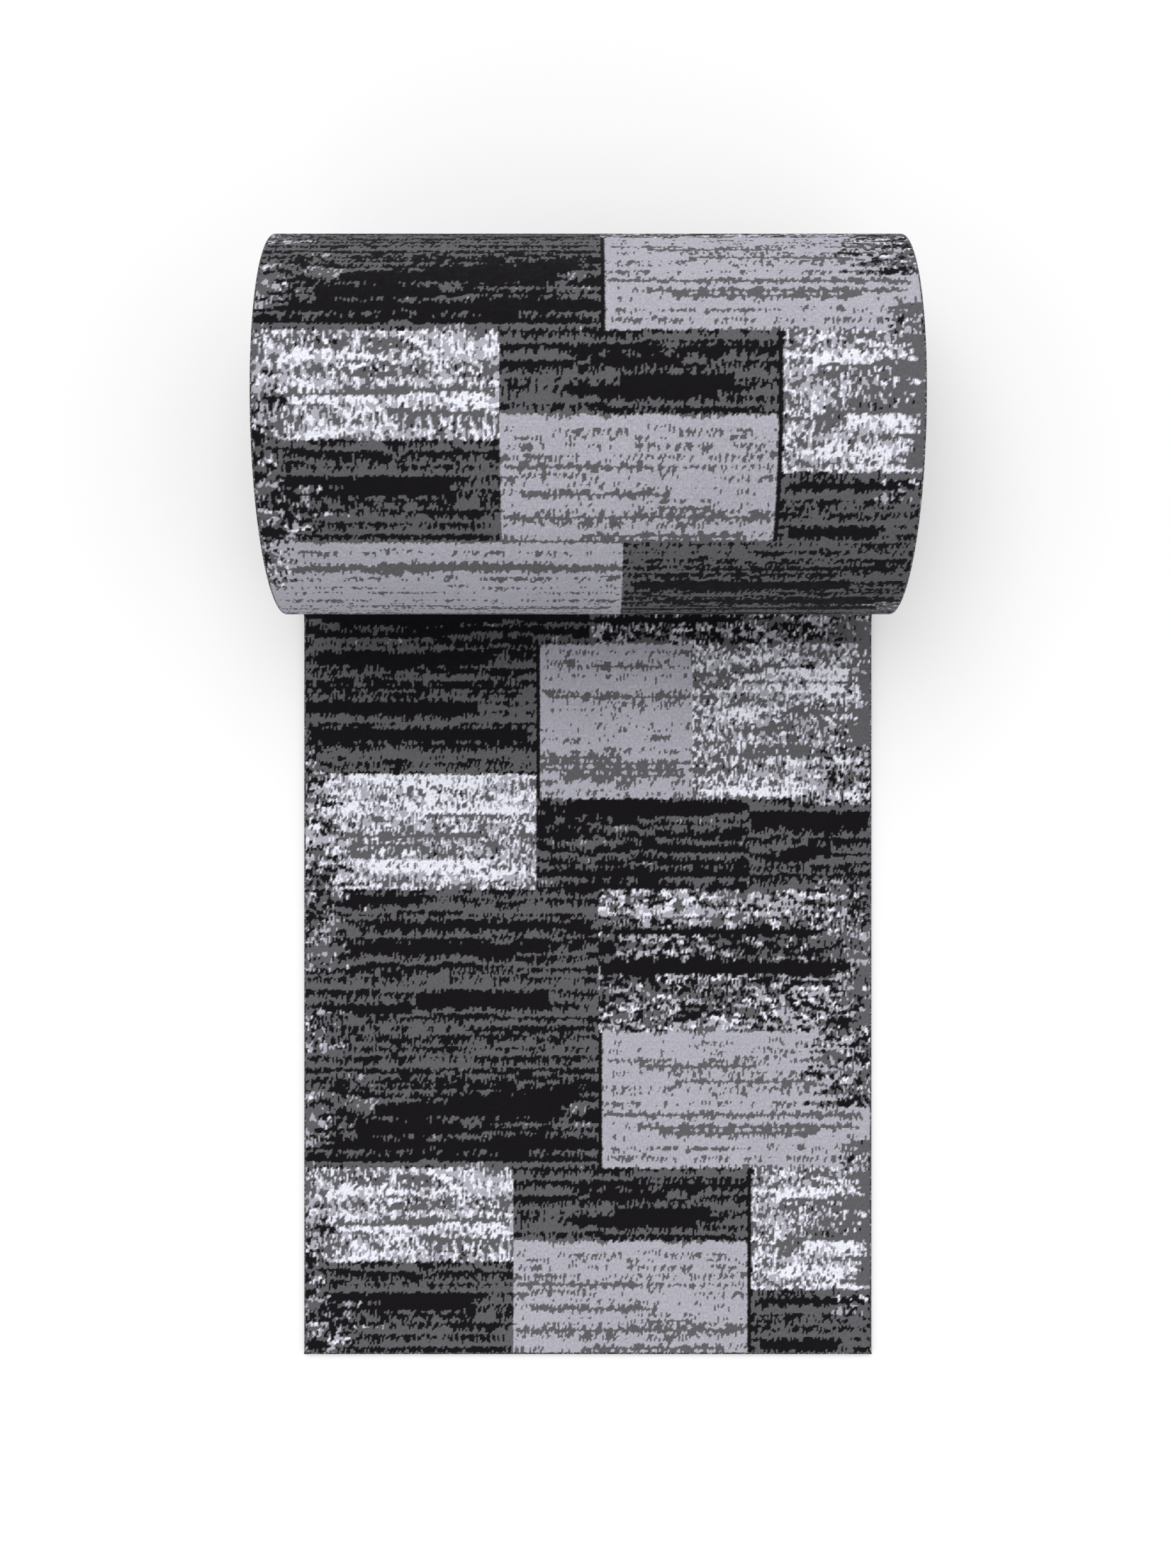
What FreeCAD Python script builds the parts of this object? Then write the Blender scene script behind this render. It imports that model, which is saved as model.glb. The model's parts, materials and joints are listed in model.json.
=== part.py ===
"""Runner rug: one long pile runner, part of it wound on a tube and part laid flat.

Frame: millimetres, +Z up, +X across the runner, +Y from the free end towards the roll.
The origin is the centre of the footprint, on the floor.

The pile faces outwards on the roll and upwards on the flat stretch, so the runner comes
down the near side of the roll, bends the other way and then lies on its backing.
"""
import FreeCAD, Part
import math
import os
import Sketcher
from FreeCAD import Vector

os.makedirs("parts", exist_ok=True)
doc = FreeCAD.newDocument("runner_rug")

# ---------------------------------------------------------------- driving dimensions
DRIVING = {
    "overall_length": 1515,      # free end to the far side of the roll
    "runner_width": 800,         # over the two serged edges
    "pile_height": 6,
    "backing_thickness": 2,
    "edge_width": 2.5,           # serging yarn beyond the cut edge
    "edge_round": 0.9,
    "roll_height": 430,          # the roll sags, so it is lower than it is deep
    "roll_depth": 487,
    "widest_height": 190,        # height of the roll's nearest and farthest points
    "tail_bend": 45,             # radius of the pile face where the tail meets the floor
    "turn_count": 20,
    "wind_clearance": 0.3,       # between the tube and the first turn
    "tube_bore": 76.2,
    "tube_wall": 5,
    "tube_overhang": 6,          # tube beyond each edge of the runner
    "first_hinge": 165,          # from the origin to the bend line nearest the roll
    "panel_count": 4,
    "panel_gap": 0.4,            # between neighbouring panels, at a bend line
}

sheet = doc.addObject("Spreadsheet::Sheet", "dims")
for row, (alias, value) in enumerate(DRIVING.items(), start=1):
    sheet.set("A%d" % row, alias)
    sheet.set("B%d" % row, str(value))
    sheet.setAlias("B%d" % row, alias)
doc.recompute()


def dim(alias):
    """A driving dimension, read back from the sheet."""
    return float(sheet.get(alias))


THICKNESS = dim("pile_height") + dim("backing_thickness")
TURNS = int(dim("turn_count"))
ROLL_FAR = dim("overall_length") / 2
ROLL_NEAR = ROLL_FAR - dim("roll_depth")

# Pile face of the innermost turn, measured from the tube's axis.
INNER_REACH = dim("tube_bore") / 2 + dim("tube_wall") + dim("wind_clearance") + THICKNESS
# The turns lie tight above and below the tube and a little looser beside it.
HEIGHT_PITCH = (dim("roll_height") - 2 * INNER_REACH) / (2 * (TURNS - 1))
DEPTH_PITCH = (dim("roll_depth") - 2 * INNER_REACH) / (2 * TURNS - 1)
TUBE_Y = ROLL_NEAR + INNER_REACH + DEPTH_PITCH * TURNS
TUBE_Z = dim("roll_height") - INNER_REACH - HEIGHT_PITCH * (TURNS - 1)


# ---------------------------------------------------------------- the winding's path
# A place on the winding is counted in turns: 0 is the near side of the outermost turn,
# a quarter later is the top, a half the far side and three quarters the bottom.
def near_reach(turn):
    return ROLL_NEAR + DEPTH_PITCH * turn


def far_reach(turn):
    return ROLL_FAR - DEPTH_PITCH * (turn - 0.5)


def top_height(turn):
    return dim("roll_height") - HEIGHT_PITCH * (turn - 0.25)


def bottom_height(turn):
    return HEIGHT_PITCH * (turn - 0.75)


def widest_height(turn):
    return dim("widest_height") + (TUBE_Z - dim("widest_height")) * turn / TURNS


def point(y, z):
    return Vector(y, z, 0)


def arc(centre, radius, start_deg, end_deg):
    """An arc given in the order it is walked, either way round."""
    def at(angle):
        return centre + point(radius * math.cos(angle), radius * math.sin(angle))
    start, end = math.radians(start_deg), math.radians(end_deg)
    return Part.Arc(at(start), at((start + end) / 2), at(end))


def line(start, end):
    return Part.LineSegment(start, end)


def turn_path(turn, depth):
    """One turn, from near side over the top and back, `depth` below the pile face."""
    top = top_height(turn + 0.25)
    bottom = bottom_height(turn + 0.75)
    near, far, next_near = near_reach(turn), far_reach(turn + 0.5), near_reach(turn + 1)
    near_z, far_z, next_z = widest_height(turn), widest_height(turn + 0.5), widest_height(turn + 1)

    near_top = point(near + top - near_z, near_z)
    far_top = point(far - (top - far_z), far_z)
    far_bottom = point(far - (far_z - bottom), far_z)
    near_bottom = point(next_near + next_z - bottom, next_z)
    return [
        arc(near_top, top - near_z - depth, 180, 90),
        line(point(near_top.x, top - depth), point(far_top.x, top - depth)),
        arc(far_top, top - far_z - depth, 90, 0),
        arc(far_bottom, far_z - bottom - depth, 0, -90),
        line(point(far_bottom.x, bottom + depth), point(near_bottom.x, bottom + depth)),
        arc(near_bottom, next_z - bottom - depth, -90, -180),
    ]


def tail_path(depth):
    """From the bend line nearest the roll, up the bend to the roll's near side."""
    end_y = dim("first_hinge") + dim("panel_gap") / 2
    bend = dim("tail_bend")
    roll_radius = widest_height(1) + DEPTH_PITCH
    roll_centre = point(near_reach(0) + roll_radius, widest_height(0))
    reach = roll_radius + bend
    bend_z = THICKNESS + bend
    lean = math.asin((roll_centre.y - bend_z) / reach)
    bend_centre = point(roll_centre.x - reach * math.cos(lean), bend_z)
    lean_deg = math.degrees(lean)
    floor_z = THICKNESS - depth
    return [
        line(point(end_y, floor_z), point(bend_centre.x, floor_z)),
        arc(bend_centre, bend + depth, -90, lean_deg),
        arc(roll_centre, roll_radius - depth, 180 + lean_deg, 180),
    ]


def outer_path(depth):
    """The outermost turn."""
    return turn_path(0, depth)


def wound_path(depth):
    """Every turn inside the outermost one, to the end against the tube."""
    path = []
    for turn in range(1, TURNS):
        path += turn_path(turn, depth)
    return path


def layer_outline(path, upper_depth, lower_depth):
    """A closed outline of the layer between two depths below the pile face."""
    upper = path(upper_depth)
    lower = path(lower_depth)
    ends = [
        line(upper[0].StartPoint, lower[0].StartPoint),
        line(upper[-1].EndPoint, lower[-1].EndPoint),
    ]
    return upper + lower + ends


# ---------------------------------------------------------------- building blocks
def origin_plane(body, role):
    return next(f for f in body.Origin.OriginFeatures if f.Role == role)


def cross_section_pad(name, outline, offset, length, symmetric):
    """A body whose outline in the Y-Z plane is drawn out along X."""
    body = doc.addObject("PartDesign::Body", name)
    body.Label = name
    sketch = body.newObject("Sketcher::SketchObject", name + "_section")
    sketch.AttachmentSupport = [(origin_plane(body, "YZ_Plane"), "")]
    sketch.MapMode = "FlatFace"
    sketch.setExpression("AttachmentOffset.Base.z", offset)
    sketch.addGeometry(outline, False)
    pad = body.newObject("PartDesign::Pad", name + "_pad")
    pad.Profile = sketch
    pad.SideType = "Symmetric" if symmetric else "One side"
    pad.setExpression("Length", length)
    body.Tip = pad
    return body


def box(name, low, size):
    """A box whose low corner and size are expressions of the sheet."""
    solid = doc.addObject("Part::Box", name)
    solid.Label = name
    for axis, expression in zip("xyz", low):
        solid.setExpression("Placement.Base." + axis, expression)
    for side, expression in zip(("Length", "Width", "Height"), size):
        solid.setExpression(side, expression)
    return solid


BETWEEN_EDGES = "dims.runner_width - 2 * dims.edge_width"
FULL_THICKNESS = "dims.pile_height + dims.backing_thickness"
EDGE_OFFSETS = {
    "left": "-dims.runner_width / 2",
    "right": "dims.runner_width / 2 - dims.edge_width",
}


def wound_layers(prefix, path):
    """Pile, backing and the two serged edges that follow one stretch of the winding."""
    pile_height = dim("pile_height")
    layers = [
        cross_section_pad(prefix + "_pile", layer_outline(path, 0, pile_height),
                          "0", BETWEEN_EDGES, True),
        cross_section_pad(prefix + "_backing", layer_outline(path, pile_height, THICKNESS),
                          "0", BETWEEN_EDGES, True),
    ]
    for side, offset in EDGE_OFFSETS.items():
        name = "%s_edge_%s" % (prefix, side)
        outline = layer_outline(path, 0, THICKNESS)
        layers.append(cross_section_pad(name, outline, offset, "dims.edge_width", False))
    return layers


def core_tube():
    """The tube that the runner is wound on; a rack pole goes through its bore."""
    body = doc.addObject("PartDesign::Body", "core_tube")
    body.Label = "core_tube"
    sketch = body.newObject("Sketcher::SketchObject", "core_tube_section")
    sketch.AttachmentSupport = [(origin_plane(body, "YZ_Plane"), "")]
    sketch.MapMode = "FlatFace"
    centre = point(TUBE_Y, TUBE_Z)
    normal = Vector(0, 0, 1)
    radii = {
        "dims.tube_bore / 2": dim("tube_bore") / 2,
        "dims.tube_bore / 2 + dims.tube_wall": dim("tube_bore") / 2 + dim("tube_wall"),
    }
    for expression, radius in radii.items():
        circle = sketch.addGeometry(Part.Circle(centre, normal, radius), False)
        constraint = sketch.addConstraint(Sketcher.Constraint("Radius", circle, radius))
        sketch.setExpression("Constraints[%d]" % constraint, expression)
    pad = body.newObject("PartDesign::Pad", "core_tube_pad")
    pad.Profile = sketch
    pad.SideType = "Symmetric"
    pad.setExpression("Length", "dims.runner_width + 2 * dims.tube_overhang")
    body.Tip = pad
    return body


PANEL_LENGTH = "((dims.first_hinge + dims.overall_length / 2) / dims.panel_count)"


def edge_bar(name, low, size, long_axis):
    """A serged edge: a bar with its upper outer corners worn round."""
    blank = box(name + "_blank", low, size)
    doc.recompute()
    rounded = doc.addObject("Part::Fillet", name)
    rounded.Label = name
    rounded.Base = blank
    along = [index for index, edge in enumerate(blank.Shape.Edges, start=1)
             if abs(edge.tangentAt(edge.FirstParameter).dot(long_axis)) > 0.99]
    top_z = blank.Shape.BoundBox.ZMax
    radius = dim("edge_round")
    rounded.Edges = [(index, radius, radius) for index in along
                     if abs(blank.Shape.Edges[index - 1].BoundBox.ZMax - top_z) < 0.01]
    return rounded


def flat_panel(number):
    """One stretch of the flat runner between two bend lines, counted from the roll."""
    last = number == int(dim("panel_count"))
    low_y = "dims.first_hinge - %d * %s" % (number, PANEL_LENGTH)
    low_y += " + dims.edge_width" if last else " + dims.panel_gap / 2"
    length = PANEL_LENGTH + " - dims.panel_gap / 2"
    length += " - dims.edge_width" if last else " - dims.panel_gap / 2"
    prefix = "panel_%d" % number

    inner_x = "-dims.runner_width / 2 + dims.edge_width"
    pieces = [
        box(prefix + "_pile", (inner_x, low_y, "dims.backing_thickness"),
            (BETWEEN_EDGES, length, "dims.pile_height")),
        box(prefix + "_backing", (inner_x, low_y, "0 mm"),
            (BETWEEN_EDGES, length, "dims.backing_thickness")),
    ]
    for side, offset in EDGE_OFFSETS.items():
        pieces.append(edge_bar("%s_edge_%s" % (prefix, side), (offset, low_y, "0 mm"),
                               ("dims.edge_width", length, FULL_THICKNESS), Vector(0, 1, 0)))
    return pieces


def end_binding():
    """The serging across the free end."""
    return edge_bar("end_binding", ("-dims.runner_width / 2", "-dims.overall_length / 2", "0 mm"),
                    ("dims.runner_width", "dims.edge_width", FULL_THICKNESS), Vector(1, 0, 0))


# ---------------------------------------------------------------- the runner rug
parts = [core_tube()]
parts += wound_layers("wound", wound_path)
parts += wound_layers("outer_turn", outer_path)
parts += wound_layers("tail", tail_path)
for panel_number in range(1, int(dim("panel_count")) + 1):
    parts += flat_panel(panel_number)
parts.append(end_binding())
doc.recompute()

# ---------------------------------------------------------------- checks, then one file each
for item in doc.Objects:
    if "Invalid" in item.State or "Error" in item.State:
        raise RuntimeError("failed feature: %s %s" % (item.Label, item.State))
for item in parts:
    if item.Shape.isNull() or not item.Shape.isValid() or item.Shape.Volume <= 0:
        raise RuntimeError("bad shape: " + item.Label)

for stretch in (tail_path, outer_path, wound_path):
    stretch_length = sum(edge.length() for edge in stretch(THICKNESS))
    print("%-12s %8.0f mm along the backing" % (stretch.__name__, stretch_length))
print("tube axis at y %.2f z %.2f" % (TUBE_Y, TUBE_Z))
for item in parts:
    item.Shape.exportStep("parts/%s.step" % item.Label)
    print("%-24s %10.0f mm3" % (item.Label, item.Shape.Volume))
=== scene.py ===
"""Looks of the runner rug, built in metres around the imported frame.

+X runs across the runner, +Y from its free end towards the roll, +Z up. Every textile piece is
laid along one path, the pile face seen from the side: flat from the free end, up the bend and
round the roll to the core tube. A place on the runner is (x, run, depth): across it, along it
from the free end, and how far below the pile face.
"""
import json
import math

import bpy
import numpy as np
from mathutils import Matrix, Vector


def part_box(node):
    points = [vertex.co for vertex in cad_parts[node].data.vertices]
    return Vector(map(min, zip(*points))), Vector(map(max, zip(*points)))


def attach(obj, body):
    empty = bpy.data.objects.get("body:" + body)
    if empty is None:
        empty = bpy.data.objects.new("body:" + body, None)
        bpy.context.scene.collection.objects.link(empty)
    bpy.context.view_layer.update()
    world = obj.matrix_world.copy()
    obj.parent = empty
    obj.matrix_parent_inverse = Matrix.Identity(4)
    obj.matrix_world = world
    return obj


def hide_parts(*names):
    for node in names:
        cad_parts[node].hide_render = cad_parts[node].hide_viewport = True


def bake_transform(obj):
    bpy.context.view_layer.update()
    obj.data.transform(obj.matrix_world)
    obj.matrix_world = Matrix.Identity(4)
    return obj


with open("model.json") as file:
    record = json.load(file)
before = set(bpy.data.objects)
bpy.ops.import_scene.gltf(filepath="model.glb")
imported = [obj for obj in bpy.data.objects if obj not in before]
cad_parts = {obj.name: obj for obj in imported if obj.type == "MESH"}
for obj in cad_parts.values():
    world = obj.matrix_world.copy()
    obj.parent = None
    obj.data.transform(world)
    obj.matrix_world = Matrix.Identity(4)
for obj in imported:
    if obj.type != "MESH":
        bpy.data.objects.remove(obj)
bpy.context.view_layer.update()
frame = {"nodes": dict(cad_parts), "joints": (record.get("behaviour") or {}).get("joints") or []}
MM = 0.001

# ---------------------------------------------------------------- sizes, from the frame
pile_low, pile_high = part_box("panel_1_pile")
edge_low, edge_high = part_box("panel_1_edge_left")
tube_low, tube_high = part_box("core_tube")
roll_low, roll_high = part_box("outer_turn_pile")
THICKNESS = pile_high.z
PILE = THICKNESS - pile_low.z
EDGE = edge_high.x - edge_low.x
HALF_WIDTH = pile_high.x
FREE_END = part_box("end_binding")[0].y
ROLL_NEAR, ROLL_FAR, ROLL_TOP = roll_low.y, roll_high.y, roll_high.z
ROLL_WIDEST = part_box("tail_pile")[1].z
TUBE_CENTRE = (tube_low + tube_high) / 2
TUBE_RADIUS = (tube_high.y - tube_low.y) / 2
HINGES = [joint["pos_m"][1] for joint in frame["joints"]]

TAIL_BEND = 45 * MM
WIND_CLEARANCE = 0.3 * MM
TURNS = 20

# The pile's grid of tufts.
COLUMNS = 318
ROW = 4.27 * MM
COLUMN = 2 * HALF_WIDTH / COLUMNS

INNER_REACH = TUBE_RADIUS + WIND_CLEARANCE + THICKNESS
HEIGHT_PITCH = (ROLL_TOP - 2 * INNER_REACH) / (2 * (TURNS - 1))
DEPTH_PITCH = (ROLL_FAR - ROLL_NEAR - 2 * INNER_REACH) / (2 * TURNS - 1)


# ---------------------------------------------------------------- the runner's path
TOO_SHORT = 0.000001 * MM


class Path:
    """Straight runs and arcs joined end to end, measured along the pile face."""

    def __init__(self):
        self.stretches = []
        self.length = 0.0

    def add(self, length, place):
        self.stretches.append((self.length, place))
        self.length += length

    def line(self, start, end, facing):
        """A straight run from start to end, in (y, z), whose pile faces (y, z) `facing`."""
        start, end, facing = np.array(start), np.array(end), np.array(facing, float)
        length = float(np.linalg.norm(end - start))
        if length < TOO_SHORT:
            return
        direction = (end - start) / length

        def place(along):
            spots = start + along[:, None] * direction
            return spots, np.broadcast_to(facing, spots.shape)
        self.add(length, place)

    def arc(self, centre, radius, start_deg, end_deg, pile_outside=True):
        """An arc about a centre (y, z), its pile facing outwards or towards the centre."""
        centre = np.array(centre)
        start, end = math.radians(start_deg), math.radians(end_deg)
        length = abs(end - start) * radius
        side = 1.0 if pile_outside else -1.0

        def place(along):
            angle = start + (end - start) * along / length
            out = np.stack([np.cos(angle), np.sin(angle)], axis=1)
            return centre + radius * out, side * out
        self.add(length, place)

    def follow(self, runs):
        """The pile face's points (y, z) at those runs, and which way it faces there."""
        runs = np.clip(runs, 0.0, self.length)
        spots = np.zeros((runs.size, 2))
        facings = np.zeros((runs.size, 2))
        starts = np.array([start for start, _ in self.stretches])
        which = np.clip(np.searchsorted(starts, runs, side="right") - 1, 0, None)
        for index in np.unique(which):
            start, place = self.stretches[index]
            chosen = which == index
            spots[chosen], facings[chosen] = place(runs[chosen] - start)
        return spots, facings

    def at(self, run, depth):
        """Points (y, z) at the given runs and depths, as one array with a last axis of 2."""
        run, depth = np.broadcast_arrays(np.asarray(run, float), np.asarray(depth, float))
        spots, facings = self.follow(run.ravel())
        return (spots - facings * depth.reshape(-1, 1)).reshape(run.shape + (2,))


# Where the pile face lies after so many turns of the roll: how far it reaches towards the free
# end and away from it, how high and how low, and the height at which it reaches furthest.
def near_reach(turn):
    return ROLL_NEAR + DEPTH_PITCH * turn


def far_reach(turn):
    return ROLL_FAR - DEPTH_PITCH * (turn - 0.5)


def top_height(turn):
    return ROLL_TOP - HEIGHT_PITCH * (turn - 0.25)


def bottom_height(turn):
    return HEIGHT_PITCH * (turn - 0.75)


def widest_height(turn):
    return ROLL_WIDEST + (TUBE_CENTRE.z - ROLL_WIDEST) * turn / TURNS


def add_tail(path):
    """Along the floor, up the bend and on to the roll's near side."""
    roll_radius = widest_height(1) + DEPTH_PITCH
    roll_centre = (near_reach(0) + roll_radius, widest_height(0))
    reach = roll_radius + TAIL_BEND
    bend_z = THICKNESS + TAIL_BEND
    lean = math.asin((roll_centre[1] - bend_z) / reach)
    bend_centre = (roll_centre[0] - reach * math.cos(lean), bend_z)
    lean_deg = math.degrees(lean)
    path.line((FREE_END, THICKNESS), (bend_centre[0], THICKNESS), (0, 1))
    path.arc(bend_centre, TAIL_BEND, -90, lean_deg, pile_outside=False)
    path.arc(roll_centre, roll_radius, 180 + lean_deg, 180)


def add_turn(path, turn):
    """From the near side over the top and underneath, back to the near side."""
    top = top_height(turn + 0.25)
    bottom = bottom_height(turn + 0.75)
    near, far, next_near = near_reach(turn), far_reach(turn + 0.5), near_reach(turn + 1)
    near_z, far_z, next_z = widest_height(turn), widest_height(turn + 0.5), widest_height(turn + 1)
    near_top = (near + top - near_z, near_z)
    far_top = (far - (top - far_z), far_z)
    far_bottom = (far - (far_z - bottom), far_z)
    near_bottom = (next_near + next_z - bottom, next_z)
    path.arc(near_top, top - near_z, 180, 90)
    path.line((near_top[0], top), (far_top[0], top), (0, 1))
    path.arc(far_top, top - far_z, 90, 0)
    path.arc(far_bottom, far_z - bottom, 0, -90)
    path.line((far_bottom[0], bottom), (near_bottom[0], bottom), (0, -1))
    path.arc(near_bottom, next_z - bottom, -90, -180)


path = Path()
add_tail(path)
ROLL_START = path.length
add_turn(path, 0)
WOUND_START = path.length
for wound_turn in range(1, TURNS):
    add_turn(path, wound_turn)
HINGE_RUNS = [hinge - FREE_END for hinge in HINGES]


# The inner turns wander sideways: by how much, in a slow and a quick sway, from a steady start.
DRIFT = 1.1 * MM
SLOW_SWAY, QUICK_SWAY, QUICK_SHARE, DRIFT_ONSET = 31, 74, 0.6, 12


def edge_drift(run):
    """How far the inner turns have wandered sideways as the runner was wound."""
    turns = np.clip((np.asarray(run, float) - WOUND_START) / (path.length - WOUND_START), 0, 1)
    sway = np.sin(SLOW_SWAY * turns) + QUICK_SHARE * np.sin(QUICK_SWAY * turns + 1)
    return DRIFT * sway * np.minimum(1, DRIFT_ONSET * turns)


# ---------------------------------------------------------------- the woven design
BLACK, GREY, LIGHT, WHITE = 0, 1, 2, 3
MOTIF_LENGTH = 1430 * MM
MOTIF_SEED = 22
MOTIF_ROWS = round(MOTIF_LENGTH / ROW)


def smooth_noise(rng, rows, columns, cell_rows, cell_columns):
    """Random values that change over cells of the given size, in tufts."""
    coarse = rng.random((int(rows / cell_rows) + 3, int(columns / cell_columns) + 3))
    r = np.arange(rows) / cell_rows + rng.random()
    c = np.arange(columns) / cell_columns + rng.random()
    r0, c0 = r.astype(int), c.astype(int)
    fr, fc = (r - r0)[:, None], (c - c0)[None, :]
    low = coarse[r0][:, c0] * (1 - fc) + coarse[r0][:, c0 + 1] * fc
    high = coarse[r0 + 1][:, c0] * (1 - fc) + coarse[r0 + 1][:, c0 + 1] * fc
    return low * (1 - fr) + high * fr


# Marks hung from lines. Widths are in tufts, and weights say how much each cause of a bright tuft
# counts: its group, its place among the teeth, its own speck of chance and its depth.
GROUP_WEIGHTS = {6: 1.3, 23: 1.1}
LINE_SPREAD = 0.2
DEEPER_CHANCE = 0.25
TOOTH_CHANCE = 0.4
LEAN_WIDTH, UPRIGHT_SHARE = 9, 0.4
SPECK_KEPT = 0.4
LINE_LEVEL, LINE_SPECK, LINE_TEETH = 0.5, 1.2, 0.6
MARK_LEVEL, MARK_FALL, MARK_TEETH, MARK_SPECK = 0.8, 0.6, 0.7, 1.6
STAGGER_WIDTH, STAGGER_ROWS = 28, 2
GROUND_LEVEL = -1.5


def hung_lines(rng, rows, columns, pitch, solid):
    """Lines with small marks hanging from them; a `solid` line has few gaps of its own."""
    field = np.full((rows + STAGGER_ROWS, columns), GROUND_LEVEL)
    place = np.arange(columns)
    row = rows + STAGGER_ROWS - 1
    while row >= 0:
        depth = pitch + int(rng.random() < DEEPER_CHANCE)
        group = rng.normal(0, LINE_SPREAD)
        for width, weight in GROUP_WEIGHTS.items():
            group = group + weight * smooth_noise(rng, 1, columns, 1, width)[0]
        teeth = (place + np.cumsum(rng.random(columns) < TOOTH_CHANCE)) % 2 - 0.5
        speck = rng.random(columns) - 0.5
        # Most marks lean, their feet to the left.
        above = (place + (smooth_noise(rng, 1, columns, 1, LEAN_WIDTH)[0] > UPRIGHT_SHARE)) % columns
        for below in range(min(depth, row + 1)):
            if below > 0:
                teeth, speck = teeth[above], speck[above]
            speck = SPECK_KEPT * speck + (1 - SPECK_KEPT) * (rng.random(columns) - 0.5)
            if below == 0:
                field[row] = group + LINE_LEVEL + solid * (LINE_SPECK * speck + LINE_TEETH * teeth)
            else:
                level = group + MARK_LEVEL - MARK_FALL * below
                field[row - below] = level + MARK_TEETH * teeth + MARK_SPECK * speck
        row -= depth
    stagger = np.round(STAGGER_ROWS * smooth_noise(rng, 1, columns, 1, STAGGER_WIDTH)[0]).astype(int)
    source = np.arange(rows)[:, None] + stagger[None, :]
    return np.take_along_axis(field, source, axis=0)


def ranked(field):
    """Each value's place in the field's order, from 0 to 1."""
    return (field.ravel().argsort().argsort().reshape(field.shape) + 0.5) / field.size


# Blots are mixed from fine noise, chance, coarse noise and long level streaks.
CHANCE_WEIGHT, COARSE_WEIGHT, STREAK_WEIGHT = 0.5, 0.4, 0.6
STREAK_CELL = (1.5, 26)
# Added to a rank, this puts a tuft behind all the others.
PUT_LAST = 9
# Frayed ends: most rows fray little, and each tuft strays by up to half of this many columns.
FRAY_CURVE, FRAY_STRAY = 1.3, 3


class Design:
    """One motif as a grid of yarn numbers, painted area by area in millimetres.

    `across` is measured from the left edge and `along` from the free end, binding included.
    """

    def __init__(self, seed):
        self.rng = np.random.default_rng(seed)
        self.yarns = np.full((MOTIF_ROWS, COLUMNS), GREY)

    def window(self, across, along):
        c0, c1 = (int(np.clip(round((a * MM - EDGE) / COLUMN), 0, COLUMNS)) for a in across)
        r0, r1 = (int(np.clip(round((a * MM - EDGE) / ROW), 0, MOTIF_ROWS)) for a in along)
        return slice(r0, max(r1, r0 + 1)), slice(c0, max(c1, c0 + 1))

    def ragged(self, shape, fray):
        """Which tufts of an area are inside its frayed left and right ends."""
        rows, columns = shape
        inside = np.ones(shape, bool)
        place = np.arange(columns)[None, :]
        for side, reach in zip((0, 1), fray):
            if reach <= 0:
                continue
            depth = self.rng.random((rows, 1)) ** FRAY_CURVE * reach * MM / COLUMN
            depth = depth + FRAY_STRAY * (self.rng.random(shape) - 0.5)
            distance = place if side == 0 else columns - 1 - place
            inside &= distance >= depth
        return inside

    def paint(self, across, along, shares, grain, fray=(0, 0), pitch=3):
        """Fills an area with a mixture: shares of (black, grey, light, white)."""
        window = self.window(across, along)
        shape = self.yarns[window].shape
        fills = {"combs": self.combs, "script": self.script, "fleck": self.fleck, "dash": self.dash}
        chosen = fills[grain](shape, np.array(shares) / sum(shares), pitch)
        self.yarns[window] = np.where(self.ragged(shape, fray), chosen, self.yarns[window])

    def combs(self, shape, shares, pitch):
        """Bright lines with bright marks hanging from them."""
        field = hung_lines(self.rng, *shape, pitch, 0.5)
        return np.searchsorted(np.cumsum(shares)[:3], ranked(field), side="right")

    def script(self, shape, shares, pitch):
        """Rows of dark marks on a brighter ground."""
        field = -hung_lines(self.rng, *shape, pitch, 1.0)
        return np.searchsorted(np.cumsum(shares)[:3], ranked(field), side="right")

    def fleck(self, shape, shares, pitch):
        """Small blots."""
        return self.blots(shape, shares, (1.0, 1.2), (2.2, 8))

    def dash(self, shape, shares, pitch):
        """Short level strokes."""
        return self.blots(shape, shares, (1.0, 3.3), (1.3, 9))

    def blots(self, shape, shares, fine, coarse):
        """Dark or bright is one choice, and which of the two yarns another. Cells are in tufts."""
        def field():
            mixed = smooth_noise(self.rng, *shape, *fine) + CHANCE_WEIGHT * self.rng.random(shape)
            mixed += COARSE_WEIGHT * smooth_noise(self.rng, *shape, *coarse)
            return ranked(mixed + STREAK_WEIGHT * smooth_noise(self.rng, *shape, *STREAK_CELL))
        dark = field() < shares[0] + shares[1]
        black = ranked(field() + PUT_LAST * ~dark) < shares[0]
        white = ranked(field() + PUT_LAST * dark) < shares[3]
        return np.where(dark, np.where(black, BLACK, GREY), np.where(white, WHITE, LIGHT))

    def bar(self, across, along, yarn, below=0.0, above=0.0):
        """A solid bar; `below` and `above` are the shares of columns that reach a row further."""
        rows, columns = self.window(across, along)
        self.yarns[rows, columns] = yarn
        width = columns.stop - columns.start
        for share, row in ((below, rows.start - 1), (above, rows.stop)):
            if share > 0 and 0 <= row < MOTIF_ROWS:
                reaching = ranked(smooth_noise(self.rng, 1, width, 1, 1.5))[0] < share
                self.yarns[row, columns] = np.where(reaching, yarn, self.yarns[row, columns])


# Each kind of patch: its grain, and its shares of black, grey, light and white yarn.
KINDS = {
    "black": ("combs", (64, 35, 1, 0)),
    "grey": ("script", (40, 60, 0, 0)),
    "pale": ("script", (0, 15, 85, 0)),
    "bright": ("fleck", (2, 42, 31, 25)),
    "mixed": ("dash", (40, 34, 21, 5)),
}
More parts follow.
